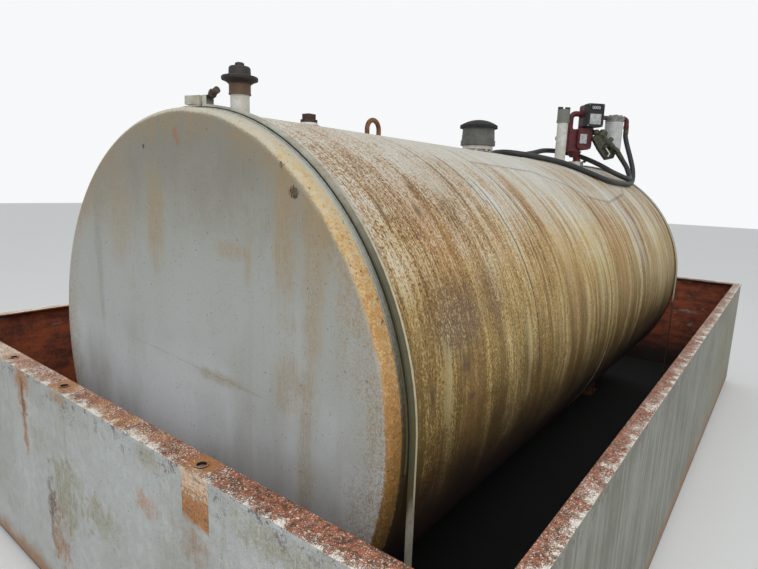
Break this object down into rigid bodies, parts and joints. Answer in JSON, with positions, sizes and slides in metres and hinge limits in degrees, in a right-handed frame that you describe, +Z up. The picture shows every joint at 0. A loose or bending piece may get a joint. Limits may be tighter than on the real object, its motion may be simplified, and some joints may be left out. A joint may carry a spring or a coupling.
{
  "type": "horizontal storage tank",
  "caption": "Horizontal flat-ended steel fuel tank strapped down in an open steel containment dike, with top fittings, transfer pump, meter, filter, hose and nozzle.",
  "frame": {"origin": "bottom centre of the dike, on the ground under its middle runner", "axes": "+X along the tank's long axis from the near head to the far head, +Y to the left of the near head, +Z up"},
  "size_m": [4.49, 2.76, 2.122],
  "materials": {
    "tank_paint": "weathered satin with rust streaks",
    "head_paint": "weathered satin",
    "dike_paint": "weathered, rusting",
    "dark_floor": "dirty, rusted",
    "rusty_steel": "rusted",
    "strap_paint": "weathered satin",
    "liner_rubber": "matte",
    "pipe_paint": "weathered satin",
    "cast_dark": "dark, worn",
    "cap_black": "black, matte",
    "pump_maroon": "dark red, satin",
    "bare_label": "satin",
    "register_black": "satin black",
    "filter_grey": "dull",
    "filter_white": "satin",
    "nozzle_dark": "dark, worn",
    "lever_bright": "bright, worn",
    "hose_rubber": "satin black"
  },
  "bodies": {
    "tank": {"dike_floor": "dark_floor", "runners": "rusty_steel", "near_wall": "dike_paint", "far_wall": "dike_paint", "left_wall": "dike_paint", "right_wall": "dike_paint", "near_saddle": "rusty_steel", "far_saddle": "rusty_steel", "near_shell": "tank_paint", "far_shell": "tank_paint", "near_head": "head_paint", "far_head": "head_paint", "near_liner": "liner_rubber", "far_liner": "liner_rubber", "near_strap": "strap_paint", "far_strap": "strap_paint", "near_tensioner": "strap_paint", "far_tensioner": "strap_paint", "vent_pipe": "pipe_paint", "vent_cap": "cast_dark", "plug_boss": "pipe_paint", "square_plug": "cast_dark", "lifting_ring": "rusty_steel", "relief_base": "cast_dark", "relief_body": "cast_dark", "fill_pipe": "pipe_paint", "fill_cap": "cast_dark", "pump_bushing": "pipe_paint", "pump_body": "pump_maroon", "pump_cover": "pump_maroon", "pump_label": "bare_label", "pump_motor": "cast_dark", "outlet_elbow": "pump_maroon", "meter_body": "pump_maroon", "meter_register": "register_black", "filter_head": "filter_grey", "filter_canister": "filter_white", "hose_elbow": "cast_dark", "nozzle_holster": "register_black", "nozzle_body": "nozzle_dark", "nozzle_guard": "nozzle_dark", "fuel_hose": "hose_rubber"},
    "relief_lid": {"relief_cap": "cap_black"},
    "squeeze_lever": {"nozzle_lever": "lever_bright"}
  },
  "joints": [
    {"name": "relief_cap_lift", "type": "slide", "parent": "tank", "child": "relief_lid", "axis": [0, 0, 1], "range_m": [0, 0.025]},
    {"name": "nozzle_lever_squeeze", "type": "hinge", "parent": "tank", "child": "squeeze_lever", "pos_m": [1.2528, -0.48426, 1.83167], "axis": [-0.6947, -0.7193, 0], "range_deg": [0, 14]}
  ]
}
